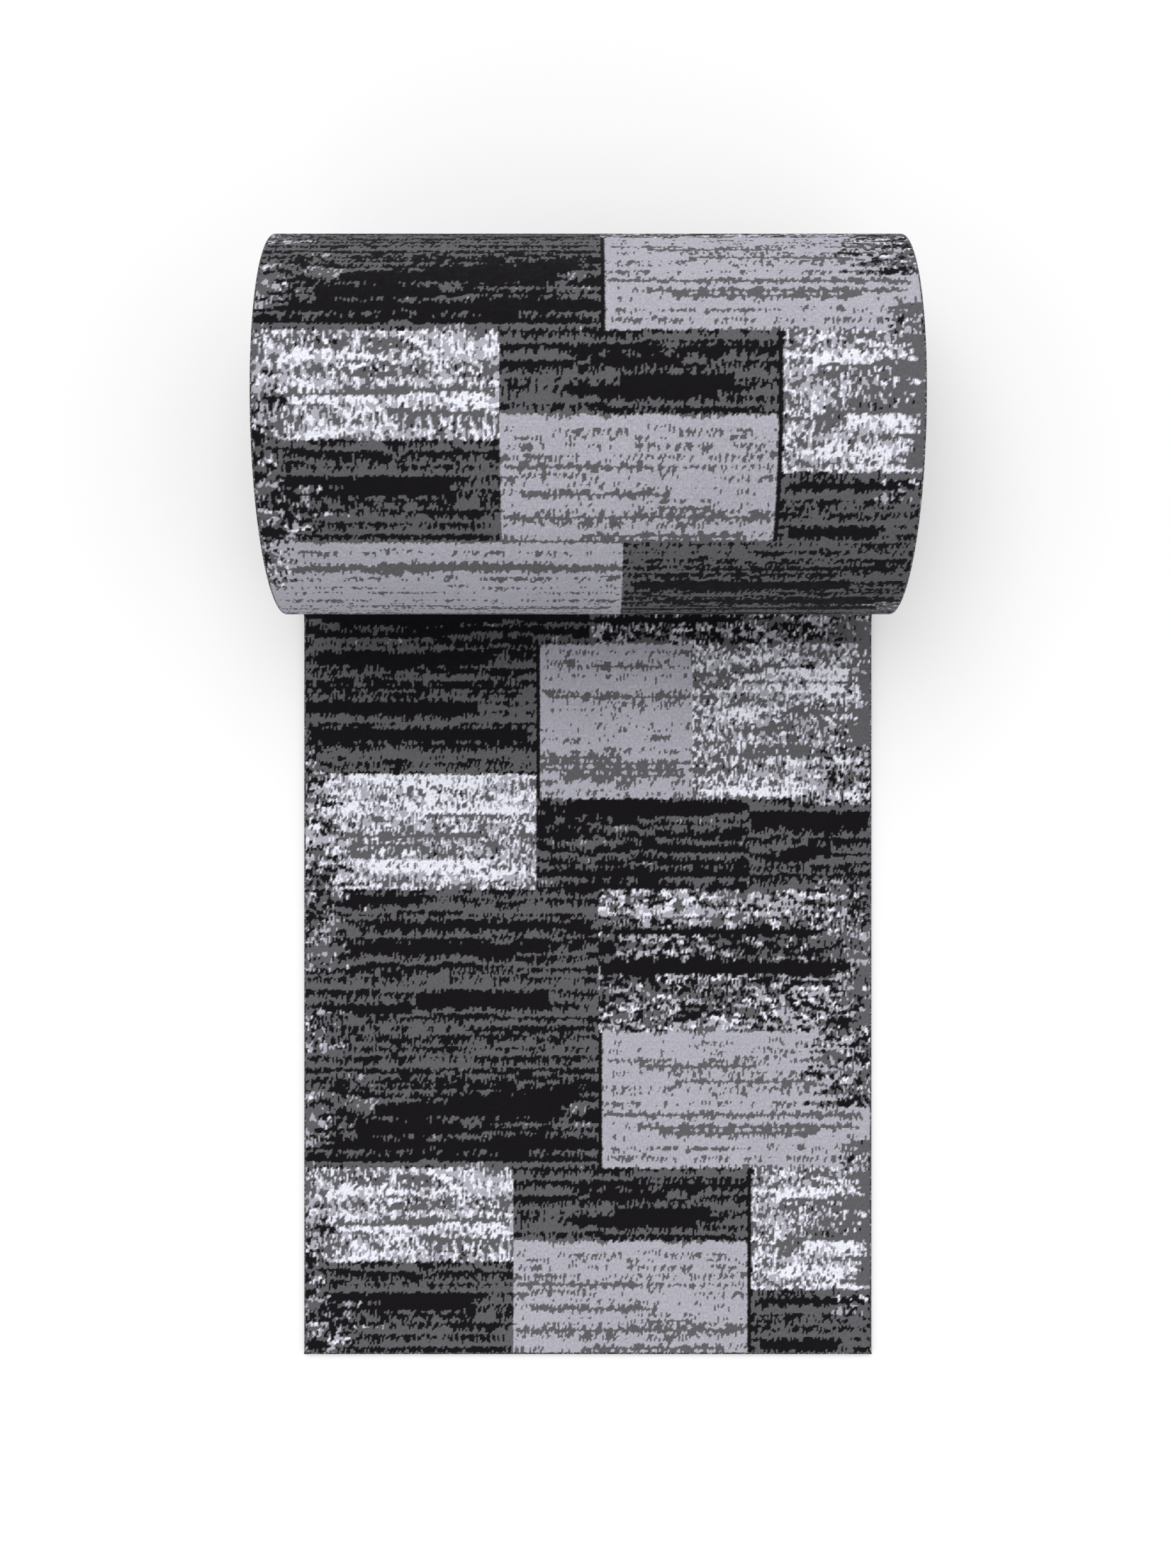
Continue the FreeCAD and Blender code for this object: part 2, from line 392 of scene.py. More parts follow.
# How often each kind is laid, and the yarn of its level bars.
KIND_ODDS = {"black": 0.30, "grey": 0.25, "pale": 0.21, "bright": 0.16, "mixed": 0.08}
BAR_YARNS = {"black": BLACK, "grey": BLACK, "pale": GREY, "bright": GREY, "mixed": BLACK}
# From here to the end of the design, lengths are in millimetres.
RUNNER_WIDTH = 2 * (HALF_WIDTH + EDGE) / MM
WIDEST_PATCH, NARROWEST_PATCH = 470, 170
TALLEST_PATCH, LOWEST_PATCH = 260, 90
# Where an area is cut, as a share of it, and when its height is cut rather than its width.
CUT_SHARES = (0.34, 0.66)
MUCH_TOO_TALL, LEVEL_CUT_CHANCE = 2.2, 0.4
# The odds that are left for a kind that a neighbour has.
REPEAT_ODDS = 0.02
# Patches that fray: how often each end does, and how far.
FRAYING = ("bright", "mixed")
FRAY_CHANCE, FRAY_REACH = 0.4, 70
# The level bands of a patch: their heights, and how their shares of yarn change with darkness.
BAND_HEIGHTS = (12, 44)
BAND_SPREAD, BAND_CHANGE = 0.42, np.array([1, 0.3, -0.4, -1])
# Level bars and bright streaks: the height of patch for each, their heights and least lengths.
BAR_SPACING, THIN_BAR, THICK_BAR = 34, (3, 6), (4, 20)
STREAK_SPACING, STREAK_HEIGHTS, STREAK_ROOM = 40, (8, 18), 14
STREAK_SHARES, STREAK_FRAY = (0, 12, 22, 66), (30, 30)
LEAST_PART = 0.3
# Wear along the long edges: heights, depths, frayed share, how often, and its mixtures.
WEAR_HEIGHTS, WEAR_DEPTHS, WEAR_FRAY, WEAR_CHANCE = (25, 90), (30, 130), 0.7, 0.6
WEAR_SHARES = [(40, 38, 18, 4), (16, 62, 20, 2), (24, 30, 36, 10)]
UPRIGHT_CHANCE, UPRIGHT_WIDTH = 0.35, 5


def split_patches(rng, across, along):
    """Cuts an area in two again and again, until each patch is small enough."""
    width, height = across[1] - across[0], along[1] - along[0]
    too_wide, too_tall = width > WIDEST_PATCH, height > TALLEST_PATCH
    if not too_wide and not too_tall:
        return [(across, along)]
    share = rng.uniform(*CUT_SHARES)
    must_be_level = height > MUCH_TOO_TALL * TALLEST_PATCH or not too_wide
    if too_tall and (must_be_level or rng.random() < LEVEL_CUT_CHANCE):
        cut = along[0] + max(share * height, LOWEST_PATCH)
        halves = (across, (along[0], cut)), (across, (cut, along[1]))
    else:
        cut = across[0] + max(share * width, NARROWEST_PATCH)
        halves = ((across[0], cut), along), ((cut, across[1]), along)
    return [patch for half in halves for patch in split_patches(rng, *half)]


def touching(patch, other):
    """Whether two patches share a side or a corner."""
    return all(a[0] <= b[1] and b[0] <= a[1] for a, b in zip(patch, other))


def choose_kinds(rng, patches):
    """A kind for each patch, most often one that no neighbour has yet."""
    kinds = []
    for number, patch in enumerate(patches):
        taken = {kinds[other] for other in range(number) if touching(patch, patches[other])}
        odds = np.array([KIND_ODDS[kind] * (REPEAT_ODDS if kind in taken else 1) for kind in KIND_ODDS])
        kinds.append(str(rng.choice(list(KIND_ODDS), p=odds / odds.sum())))
    return kinds


def part_of(rng, span):
    """A random part of a span, no shorter than the least share of it."""
    length = (span[1] - span[0]) * rng.uniform(LEAST_PART, 1)
    start = rng.uniform(span[0], span[1] - length)
    return start, start + length


def fill_patch(design, across, along, kind):
    """Level bands of one grain, each a little darker or brighter, then bars and streaks."""
    rng = design.rng
    grain, shares = KINDS[kind]
    least = BAND_HEIGHTS[0]
    fray = (0, 0)
    if kind in FRAYING:
        fray = tuple(rng.uniform(0, FRAY_REACH, 2) * (rng.random(2) < FRAY_CHANCE))
    low = along[0]
    while low < along[1]:
        high = low + rng.uniform(*BAND_HEIGHTS)
        high = along[1] if high > along[1] - least else high
        band_shares = shares * np.exp(rng.normal(0, BAND_SPREAD) * BAND_CHANGE)
        design.paint(across, (low, high), band_shares, grain, fray=fray, pitch=int(rng.integers(3, 5)))
        low = high
    for _ in range(int((along[1] - along[0]) / BAR_SPACING)):
        foot = rng.uniform(along[0], along[1] - least)
        reach = part_of(rng, across)
        height = rng.uniform(*(THIN_BAR if kind in ("pale", "bright") else THICK_BAR))
        design.bar(reach, (foot, foot + height), BAR_YARNS[kind], below=0.3, above=0.35)
    if kind == "bright":
        for _ in range(int((along[1] - along[0]) / STREAK_SPACING)):
            foot = rng.uniform(along[0], along[1] - STREAK_ROOM)
            streak = part_of(rng, across), (foot, foot + rng.uniform(*STREAK_HEIGHTS))
            design.paint(*streak, STREAK_SHARES, "fleck", fray=STREAK_FRAY)


def worn_margins(design):
    """Flecked wear along both long edges, in stretches of its own."""
    rng = design.rng
    for side in (0, 1):
        low = 0
        while low < MOTIF_LENGTH / MM:
            high = low + rng.uniform(*WEAR_HEIGHTS)
            depth = rng.uniform(*WEAR_DEPTHS)
            across = (0, depth) if side == 0 else (RUNNER_WIDTH - depth, RUNNER_WIDTH)
            fray = (0, WEAR_FRAY * depth) if side == 0 else (WEAR_FRAY * depth, 0)
            shares = WEAR_SHARES[int(rng.integers(3))]
            grain = ["fleck", "dash"][int(rng.integers(2))]
            if rng.random() < WEAR_CHANCE:
                design.paint(across, (low, high), shares, grain, fray=fray)
            low = high


def upright_lines(design, patches):
    """A thin black upright line on the left of some patches."""
    for across, along in patches:
        if across[0] > 0 and design.rng.random() < UPRIGHT_CHANCE:
            design.bar((across[0], across[0] + UPRIGHT_WIDTH), along, BLACK)


def weave_motif():
    """A patchwork laid by chance alone: no real runner's arrangement is followed."""
    design = Design(seed=MOTIF_SEED)
    patches = split_patches(design.rng, (0, RUNNER_WIDTH), (0, MOTIF_LENGTH / MM))
    for (across, along), kind in zip(patches, choose_kinds(design.rng, patches)):
        fill_patch(design, across, along, kind)
    worn_margins(design)
    upright_lines(design, patches)
    return design.yarns


MOTIF = weave_motif()


def motif_rows(run):
    """Which row of the motif lies at each place along the runner."""
    return np.floor((np.asarray(run) - EDGE) / ROW).astype(int) % MOTIF_ROWS


# ---------------------------------------------------------------- mesh building
def build_mesh(name, vertices, faces, strip, yarns, sharp_deg=60):
    """A mesh whose points carry their place on the runner and the number of their yarn."""
    mesh = bpy.data.meshes.new(name)
    loops = np.concatenate([np.asarray(block).ravel() for block in faces])
    totals = np.concatenate([np.full(len(block), len(block[0])) for block in faces])
    mesh.vertices.add(len(vertices))
    mesh.vertices.foreach_set("co", vertices.astype(np.float32).ravel())
    mesh.loops.add(len(loops))
    mesh.loops.foreach_set("vertex_index", loops.astype(np.int32))
    mesh.polygons.add(len(totals))
    starts = np.concatenate([[0], np.cumsum(totals)[:-1]])
    mesh.polygons.foreach_set("loop_start", starts.astype(np.int32))
    mesh.update(calc_edges=True)
    place = mesh.attributes.new("strip", "FLOAT_VECTOR", "POINT")
    place.data.foreach_set("vector", strip.astype(np.float32).ravel())
    yarn = mesh.attributes.new("yarn", "FLOAT", "POINT")
    yarn.data.foreach_set("value", np.asarray(yarns, np.float32))
    mesh.shade_smooth()
    mesh.set_sharp_from_angle(angle=math.radians(sharp_deg))
    piece = bpy.data.objects.new(name, mesh)
    bpy.context.scene.collection.objects.link(piece)
    return piece


def placed(x, run, depth):
    """Points in space for places on the runner, as one list of rows."""
    spots = path.at(run, depth)
    x = np.broadcast_to(x, spots.shape[:-1])
    return np.concatenate([(x + edge_drift(run))[..., None], spots], axis=-1).reshape(-1, 3)


# Tufts: how high their crests and how deep the valleys, how uneven, and how far they lean.
CREST, VALLEY, TUFT_UNEVEN = 0.25 * MM, 0.45 * MM, 0.25 * MM
SIDE_LEAN = 0.3 * COLUMN
LONG_LEAN = 0.3 * ROW
HALF_ROWS = 2 * int(WOUND_START / ROW) + 4

lean_rng = np.random.default_rng(5)
TUFTS = (HALF_ROWS, COLUMNS + 2)
sideways = lean_rng.uniform(-SIDE_LEAN, SIDE_LEAN, TUFTS)
lengthways = lean_rng.uniform(-LONG_LEAN, LONG_LEAN, TUFTS)
rise = lean_rng.uniform(0, 1, TUFTS)
takes_above = lean_rng.random(TUFTS) < 0.5
sideways[:, [0, -1]] = 0


def solid_band(name, runs, x, top, top_run, top_x, bottom_depth, yarns):
    """A closed band: a fine upper face over a plain lower one as wide as the band."""
    steps, across = top.shape
    upper = placed(top_x, top_run, top)
    lower_x = np.stack([np.full(steps, x[0]), np.full(steps, x[-1])], axis=1)
    lower_run = np.stack([runs, runs], axis=1)
    lower = placed(lower_x, lower_run, bottom_depth[:, None])
    vertices = np.concatenate([upper, lower])
    grid = np.arange(steps * across).reshape(steps, across)
    left = steps * across + 2 * np.arange(steps)
    right = left + 1
    faces = [
        np.stack([grid[:-1, :-1], grid[:-1, 1:], grid[1:, 1:], grid[1:, :-1]], -1).reshape(-1, 4),
        np.stack([left[:-1], left[1:], right[1:], right[:-1]], -1),
        np.stack([grid[:-1, 0], grid[1:, 0], left[1:], left[:-1]], -1),
        np.stack([grid[:-1, -1], right[:-1], right[1:], grid[1:, -1]], -1),
        np.concatenate([[left[0], right[0]], grid[0, ::-1]])[None, :],
        np.concatenate([grid[-1], [right[-1], left[-1]]])[None, :],
    ]
    nominal_x = np.broadcast_to(x, (steps, across))
    nominal_run = np.broadcast_to(runs[:, None], (steps, across))
    strip = np.stack([nominal_x, nominal_run, top], -1).reshape(-1, 3)
    lower_depth = np.broadcast_to(bottom_depth[:, None], lower_x.shape)
    strip_low = np.stack([lower_x, lower_run, lower_depth], -1).reshape(-1, 3)
    upper_yarns = np.broadcast_to(yarns, (steps, across)).ravel()
    all_yarns = np.concatenate([upper_yarns, np.full(2 * steps, GREY)])
    return build_mesh(name, vertices, faces, np.concatenate([strip, strip_low]), all_yarns)


def pile_band(name, row_start, row_end):
    """The pile between two rows of tufts, with a point at each tuft's crest and in the valleys."""
    half_rows = np.arange(2 * row_start, 2 * row_end + 1)
    runs = half_rows * ROW / 2 + EDGE
    centres = (np.arange(COLUMNS) + 0.5) * COLUMN - HALF_WIDTH
    x = np.concatenate([[-HALF_WIDTH], centres, [HALF_WIDTH]])
    crest = (half_rows % 2 == 1)[:, None]
    top = np.where(crest, -CREST, VALLEY) + rise[half_rows] * TUFT_UNEVEN
    top_x = x[None, :] + sideways[half_rows]
    top_run = runs[:, None] + lengthways[half_rows] * np.where(crest, 0.5, 1.0)
    top_run[[0, -1]] = runs[[0, -1], None]
    yarns = np.where(takes_above[half_rows] & ~crest, tufts(runs + ROW / 4), tufts(runs - ROW / 4))
    return solid_band(name, runs, x, top, top_run, top_x, np.full(len(runs), PILE), yarns)


def tufts(run):
    """The yarn numbers of the tufts at each of those runs, from one edge to the other."""
    columns = np.clip(np.arange(COLUMNS + 2) - 1, 0, COLUMNS - 1)
    return MOTIF[motif_rows(run)][:, columns]


RIB_DEPTH = 0.45 * MM


def backing_band(name, run_start, run_end, step=ROW / 2):
    """The ground cloth: its lower face has a rib for each weft yarn."""
    count = max(2, 2 * round((run_end - run_start) / (2 * step)))
    runs = np.linspace(run_start, run_end, count + 1)
    x = np.array([-HALF_WIDTH, HALF_WIDTH])
    top = np.full((count + 1, 2), PILE)
    rib = np.where(np.arange(count + 1) % 2 == 1, THICKNESS, THICKNESS - RIB_DEPTH)
    return solid_band(name, runs, x, top, np.stack([runs, runs], 1), x[None, :], rib, GREY)


# Serging: the pitch of its wraps, how much they swell, how square they wrap round the edge, how
# many points go round it, and from which angle the mesh counts as sharp.
STITCH = 3.2 * MM
WRAP_SWELL = 0.35 * MM
WRAP_SQUARENESS = 0.6
EDGE_RING, WOUND_RING = 9, 7
STEPS_PER_STITCH, WOUND_STEPS_PER_STITCH = 3, 2
SERGING_SHARP_DEG = 75
WRAP_SLANT = 0.16 * STITCH


def wraps(along, ring):
    """Slanting wraps round an edge: their angles, how far out, and how far above the middle."""
    turn = np.linspace(0.5 * math.pi, -0.5 * math.pi, ring)[None, :]
    wrap = np.abs(np.cos(math.pi * along / STITCH + 0.5 * turn))
    swell = WRAP_SWELL * (wrap - 0.5)
    out = np.maximum(np.cos(turn), 0) ** WRAP_SQUARENESS * (EDGE + swell)
    return turn, out, np.sin(turn) * (THICKNESS / 2 + 0.5 * swell)


def closed_tube(shape, clockwise=False):
    """The faces of a tube whose points run ring by ring, with a face over each end."""
    grid = np.arange(shape[0] * shape[1]).reshape(shape)
    around = np.roll(grid, -1, axis=1)
    corners = [grid[:-1], around[:-1], around[1:], grid[1:]]
    caps = [grid[:1, ::-1], grid[-1:]]
    if clockwise:
        corners = corners[:1] + corners[:0:-1]
        caps = [cap[:, ::-1] for cap in caps]
    return [np.stack(corners, -1).reshape(-1, 4)] + caps


def serged_edge(name, side, run_start, run_end, steps_per_stitch=STEPS_PER_STITCH, ring=EDGE_RING):
    """Overlocked yarn round one long edge."""
    count = max(6, round((run_end - run_start) / STITCH * steps_per_stitch))
    runs = np.linspace(run_start, run_end, count + 1)[:, None]
    turn, out, above = wraps(runs, ring)
    x = side * (HALF_WIDTH + out)
    run_grid = np.broadcast_to(runs, x.shape)
    vertices = placed(x, run_grid, THICKNESS / 2 - above)
    strip = np.stack([np.broadcast_to(turn, x.shape), run_grid, x], -1).reshape(-1, 3)
    faces = closed_tube(x.shape, clockwise=side < 0)
    return build_mesh(name, vertices, faces, strip, np.zeros(x.size), SERGING_SHARP_DEG)


def end_serging(name):
    """The same wraps across the free end."""
    half = HALF_WIDTH + EDGE
    count = round(2 * half / STITCH * STEPS_PER_STITCH)
    across = np.linspace(-half, half, count + 1)[:, None]
    turn, out, above = wraps(across, EDGE_RING)
    y = FREE_END + EDGE - out
    x = np.broadcast_to(across, y.shape)
    vertices = np.stack([x, y, THICKNESS / 2 + above], -1).reshape(-1, 3)
    strip = np.stack([np.broadcast_to(turn, x.shape), x, y], -1).reshape(-1, 3)
    return build_mesh(name, vertices, closed_tube(x.shape), strip, np.zeros(x.size), SERGING_SHARP_DEG)


# ---------------------------------------------------------------- materials
# Colours: the yarns by number, then pairs that each material mixes.
YARNS = [(0.0085, 0.0075, 0.0092), (0.120, 0.118, 0.127), (0.436, 0.431, 0.492), (0.840, 0.850, 0.935)]
CLOTH_COLOURS = (0.30, 0.255, 0.195, 1), (0.42, 0.37, 0.295, 1)
SERGING_COLOURS = (0.020, 0.019, 0.021, 1), (0.42, 0.42, 0.46, 1)
BOARD_COLOURS = (0.335, 0.215, 0.115, 1), (0.46, 0.315, 0.185, 1)
FLOOR_COLOUR = (0.95, 0.95, 0.955, 1)


class Material:
    """A node material with a Principled shader, built link by link."""

    def __init__(self, name, **sockets):
        self.material = bpy.data.materials.new(name)
        self.material.use_nodes = True
        self.tree = self.material.node_tree
        self.shader = self.tree.nodes["Principled BSDF"]
        for socket, value in sockets.items():
            self.shader.inputs[socket.replace("_", " ")].default_value = value

    def node(self, kind, inputs=None, **settings):
        """Adds a node; `inputs` maps sockets to values or to other nodes' outputs."""
        added = self.tree.nodes.new(kind)
        for setting, value in settings.items():
            setattr(added, setting, value)
        for socket, value in (inputs or {}).items():
            if isinstance(value, bpy.types.NodeSocket):
                self.tree.links.new(value, added.inputs[socket])
            else:
                added.inputs[socket].default_value = value
        return added

    def math(self, operation, *values):
        return self.node("ShaderNodeMath", dict(enumerate(values)), operation=operation).outputs[0]

    def strip(self):
        """The place on the runner: across, along and through it."""
        place = self.node("ShaderNodeAttribute", attribute_name="strip")
        return place.outputs["Vector"], self.node("ShaderNodeSeparateXYZ", {0: place.outputs["Vector"]})

    def noise(self, vector, stretch, detail=2.0, low=0.0, high=1.0):
        """Noise with cells of the given sizes along x, y and z, scaled to low..high."""
        scale = tuple(1 / size for size in stretch)
        cells = self.node("ShaderNodeVectorMath", {0: vector, 1: scale}, operation="MULTIPLY")
        settings = {"Vector": cells.outputs[0], "Scale": 1.0, "Detail": detail}
        grain = self.node("ShaderNodeTexNoise", settings)
        spread = {"Value": grain.outputs["Fac"], "From Min": 0.3, "From Max": 0.7,
                  "To Min": low, "To Max": high}
        return self.node("ShaderNodeMapRange", spread).outputs[0]

    def shade(self, colour, *factors):
        """The colour made lighter or darker by each of the factors."""
        total = factors[0]
        for factor in factors[1:]:
            total = self.math("MULTIPLY", total, factor)
        shaded = self.node("ShaderNodeVectorMath", {0: colour, "Scale": total}, operation="SCALE")
        return shaded.outputs[0]

    def finish(self, colour, height, strength, distance):
        """The material, with that colour and with bumps where `height` is high."""
        self.tree.links.new(colour, self.shader.inputs["Base Color"])
        settings = {"Height": height, "Strength": strength, "Distance": distance}
        bump = self.node("ShaderNodeBump", settings)
        self.tree.links.new(bump.outputs[0], self.shader.inputs["Normal"])
        return self.material


def yarn_colours(look, index):
    """The four yarn colours, by number, with no blending from one to the next."""
    ramp = look.node("ShaderNodeValToRGB", {0: look.math("DIVIDE", index, len(YARNS))})
    ramp.color_ramp.interpolation = "CONSTANT"
    stops = ramp.color_ramp.elements
    for number, colour in enumerate(YARNS):
        position = max(number - 0.5, 0) / len(YARNS)
        stop = stops[number] if number < 2 else stops.new(position)
        stop.position = position
        stop.color = (*colour, 1)
    return ramp.outputs["Color"]


def mix_colours(look, factor, colours):
    """A mix of a pair of colours."""
    mixer = look.node("ShaderNodeMix", data_type="RGBA")
    used = {socket.name: socket for socket in mixer.inputs if socket.enabled}
    look.tree.links.new(factor, used["Factor"])
    used["A"].default_value, used["B"].default_value = colours
    return next(socket for socket in mixer.outputs if socket.enabled)


def groove(look, place, pitch, width, depth):
    """A soft dark line wherever `place` passes a multiple of `pitch`: painted shade between tufts and
    yarns, or the tube's dark seam.
    """
    phase = look.math("PINGPONG", place, pitch / 2)
    spread = {"Value": phase, "From Min": 0.0, "From Max": width, "To Min": 1 - depth, "To Max": 1.0}
    return look.node("ShaderNodeMapRange", spread, interpolation_type="SMOOTHSTEP").outputs[0]


# How far the yarn number strays between tufts, so that marks have wavy outlines.
STRAY = 0.38


def pile_look():
    look = Material("pile_yarn", Roughness=0.95, Specular_IOR_Level=0.05, Sheen_Weight=0.04,
                    Sheen_Roughness=0.5)
    place, parts = look.strip()
    index = look.node("ShaderNodeAttribute", attribute_name="yarn").outputs["Fac"]
    stray = look.noise(place, (0.9 * MM, 1.3 * MM, 1), detail=1.5, low=-STRAY, high=STRAY)
    colour = yarn_colours(look, look.math("ADD", index, stray))
    fibre = look.noise(place, (0.5 * MM, 0.9 * MM, 2 * MM), detail=3, low=0.9, high=1.1)
    tuft = look.noise(place, (2.6 * MM, 3.6 * MM, 20 * MM), detail=0, low=0.9, high=1.1)
    wear = look.noise(place, (90 * MM, 160 * MM, 1), detail=2, low=0.96, high=1.04)
    # Painted shade: soft dark lines in the colour between rows of tufts and between columns of tufts,
    # where shade falls between them; the same lines also drive the bumps.
    row_gap_shade = groove(look, look.math("SUBTRACT", parts.outputs["Y"], EDGE), ROW / 2, 0.7 * MM, 0.10)
    column_gap_shade = groove(look, parts.outputs["X"], COLUMN, 0.6 * MM, 0.07)
    shaded = look.shade(colour, fibre, tuft, wear, row_gap_shade, column_gap_shade)
    height = look.math("MULTIPLY", fibre, look.math("MULTIPLY", row_gap_shade, column_gap_shade))
    return look.finish(shaded, height, 0.35, 1 * MM)


def backing_look():
    look = Material("backing_cloth", Roughness=0.9, Specular_IOR_Level=0.15, Sheen_Weight=0.1)
    place, parts = look.strip()
    # Painted shade: dark lines in the colour between the weft yarns and between the warp yarns; the
    # same lines also drive the bumps.
    weft = groove(look, parts.outputs["Y"], ROW, 1.2 * MM, 0.35)
    warp_gap_shade = groove(look, parts.outputs["X"], 2 * COLUMN, 0.8 * MM, 0.30)
    fibre = look.noise(place, (0.8 * MM, 0.5 * MM, 1 * MM), detail=3, low=0.82, high=1.12)
    slub = look.noise(place, (45 * MM, 3 * MM, 1), detail=2, low=0.86, high=1.1)
    blend = look.noise(place, (6 * MM, 2 * MM, 1), detail=1)
    mixed = mix_colours(look, blend, CLOTH_COLOURS)
    shaded = look.shade(mixed, weft, warp_gap_shade, fibre, slub)
    height = look.math("MULTIPLY", fibre, look.math("MULTIPLY", weft, warp_gap_shade))
    return look.finish(shaded, height, 0.5, 0.6 * MM)


def serging_look():
    look = Material("serging_yarn", Roughness=0.9, Specular_IOR_Level=0.2, Sheen_Weight=0.15)
    place, parts = look.strip()
    fleck = look.noise(place, (0.9, 2.4 * MM, 1), detail=1)
    melange = look.math("MULTIPLY", fleck, look.math("MULTIPLY", fleck, fleck))
    mixed = mix_colours(look, melange, SERGING_COLOURS)
    slant = look.math("MULTIPLY", parts.outputs["X"], WRAP_SLANT)
    lean = look.math("ADD", parts.outputs["Y"], slant)
    # Painted shade: a dark line in the colour between neighbouring wraps; the same line also drives the
    # bumps.
    wrap = groove(look, lean, STITCH, 0.9 * MM, 0.45)
    fibre = look.noise(place, (0.25, 0.5 * MM, 1), detail=3, low=0.8, high=1.2)
    shaded = look.shade(mixed, wrap, fibre)
    height = look.math("MULTIPLY", wrap, fibre)
    return look.finish(shaded, height, 0.5, 0.6 * MM)


SEAM_PITCH = 95 * MM


def board_look():
    """Kraft board wound in a spiral: seams, fibres and mottling."""
    look = Material("tube_board", Roughness=0.85, Specular_IOR_Level=0.25)
    coordinates = look.node("ShaderNodeTexCoord").outputs["Object"]
    parts = look.node("ShaderNodeSeparateXYZ", {0: coordinates})
    depth = look.math("SUBTRACT", parts.outputs["Y"], TUBE_CENTRE.y)
    rise = look.math("SUBTRACT", parts.outputs["Z"], TUBE_CENTRE.z)
    angle = look.math("ARCTAN2", rise, depth)
    slant = look.math("MULTIPLY", angle, SEAM_PITCH / math.tau)
    helix = look.math("ADD", parts.outputs["X"], slant)
    seam = groove(look, helix, SEAM_PITCH, 0.8 * MM, 0.35)
    fibre = look.noise(coordinates, (3 * MM, 0.7 * MM, 0.7 * MM), detail=4, low=0.86, high=1.1)
    mottle = look.noise(coordinates, (24 * MM, 15 * MM, 15 * MM), detail=3)
    mixed = mix_colours(look, mottle, BOARD_COLOURS)
    shaded = look.shade(mixed, seam, fibre)
    return look.finish(shaded, look.math("MULTIPLY", seam, fibre), 0.3, 0.4 * MM)


LOOKS = {
    "pile_yarn": pile_look(),
    "backing_cloth": backing_look(),
    "serging_yarn": serging_look(),
    "tube_board": board_look(),
}


def dress(piece, slot):
    piece.data.materials.clear()
    piece.data.materials.append(LOOKS[slot])


# ---------------------------------------------------------------- the pieces
def row_at(run):
    return round((run - EDGE) / ROW)


def run_at(row):
    return row * ROW + EDGE


def cut_length(run_start, run_end):
    """How much runner was cut for a stretch: its length along the middle of the backing."""
    runs = np.linspace(run_start, run_end, round((run_end - run_start) / ROW) + 1)
    spots = path.at(runs, (PILE + THICKNESS) / 2)
    return float(np.linalg.norm(np.diff(spots, axis=0), axis=1).sum())


def textile(label, row_start, row_end, nodes, held, rests_on, move):
    """Pile, backing and both serged edges between two rows, in place of those CAD nodes."""
    run_start, run_end = run_at(row_start), run_at(row_end)
    pile = pile_band(label + "_pile_weave", row_start, row_end)
    backing = backing_band(label + "_backing_cloth", run_start, run_end)
    left = serged_edge(label + "_serging_left", -1, run_start, run_end)
    right = serged_edge(label + "_serging_right", 1, run_start, run_end)
    settle(pile, backing, left, right, cut_length(run_start, run_end), nodes, move)


def settle(pile, backing, left, right, length, nodes, move):
    """Materials, the given move and the replaced nodes for one length of runner."""
    parts = {"pile": pile, "backing": backing, "edge_left": left, "edge_right": right}
    slots = {"pile": "pile_yarn", "backing": "backing_cloth",
             "edge_left": "serging_yarn", "edge_right": "serging_yarn"}
    for part, piece in parts.items():
        dress(piece, slots[part])
        move(piece)
        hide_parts(*[node + "_" + part for node in nodes])


def bend_between():
    """A move that only bakes a piece's transform into its mesh."""

    def move(piece):
        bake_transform(piece)
    return move


def ride_roll(piece):
    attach(piece, "roll")


def flat_stretches():
    """Each stretch spans one hinge, and meets the next in the middle of a panel."""
    bodies = ["roll"] + ["panel_%d" % number for number in range(1, len(HINGES) + 1)]
    middles = [row_at((a + b) / 2) for a, b in zip(HINGE_RUNS, HINGE_RUNS[1:])]
    starts = middles + [0]
    ends = [TAIL_ROW] + middles
    for number, hinge in enumerate(HINGES):
        nodes = ["tail" if number == 0 else bodies[number], bodies[number + 1]]
        move = bend_between()
        textile("stretch_%d" % (number + 1), starts[number], ends[number], nodes,
                "laid", ["floor"], move)


WOUND_STEP = 6 * MM
WOUND_POINTS_ACROSS = 9


def wound_turns():
    """The inner turns, seen only from the sides, in longer steps."""
    run_start, run_end = run_at(WOUND_ROW), path.length
    count = round((run_end - run_start) / WOUND_STEP)
    runs = np.linspace(run_start, run_end, count + 1)
    x = np.linspace(-HALF_WIDTH, HALF_WIDTH, WOUND_POINTS_ACROSS)
    grid_x = np.broadcast_to(x, (count + 1, len(x)))
    grid_run = np.broadcast_to(runs[:, None], grid_x.shape)
    flush = np.zeros(grid_x.shape)
    yarns = tufts(runs)[:, np.linspace(0, COLUMNS + 1, len(x)).astype(int)]
    depth = np.full(count + 1, PILE)
    pile = solid_band("wound_pile_weave", runs, x, flush, grid_run, grid_x, depth, yarns)
    backing = backing_band("wound_backing_cloth", run_start, run_end, step=WOUND_STEP)
    coarser = WOUND_STEPS_PER_STITCH, WOUND_RING
    left = serged_edge("wound_serging_left", -1, run_start, run_end, *coarser)
    right = serged_edge("wound_serging_right", 1, run_start, run_end, *coarser)
    length = cut_length(run_start, run_end)
    settle(pile, backing, left, right, length, ["wound"], ride_roll)


# The tail starts so far past the first hinge, where the runner still lies on the floor.
TAIL_START = 45 * MM
TAIL_ROW = row_at(HINGE_RUNS[0] + TAIL_START)
ROLL_ROW = row_at(ROLL_START)
WOUND_ROW = row_at(WOUND_START)
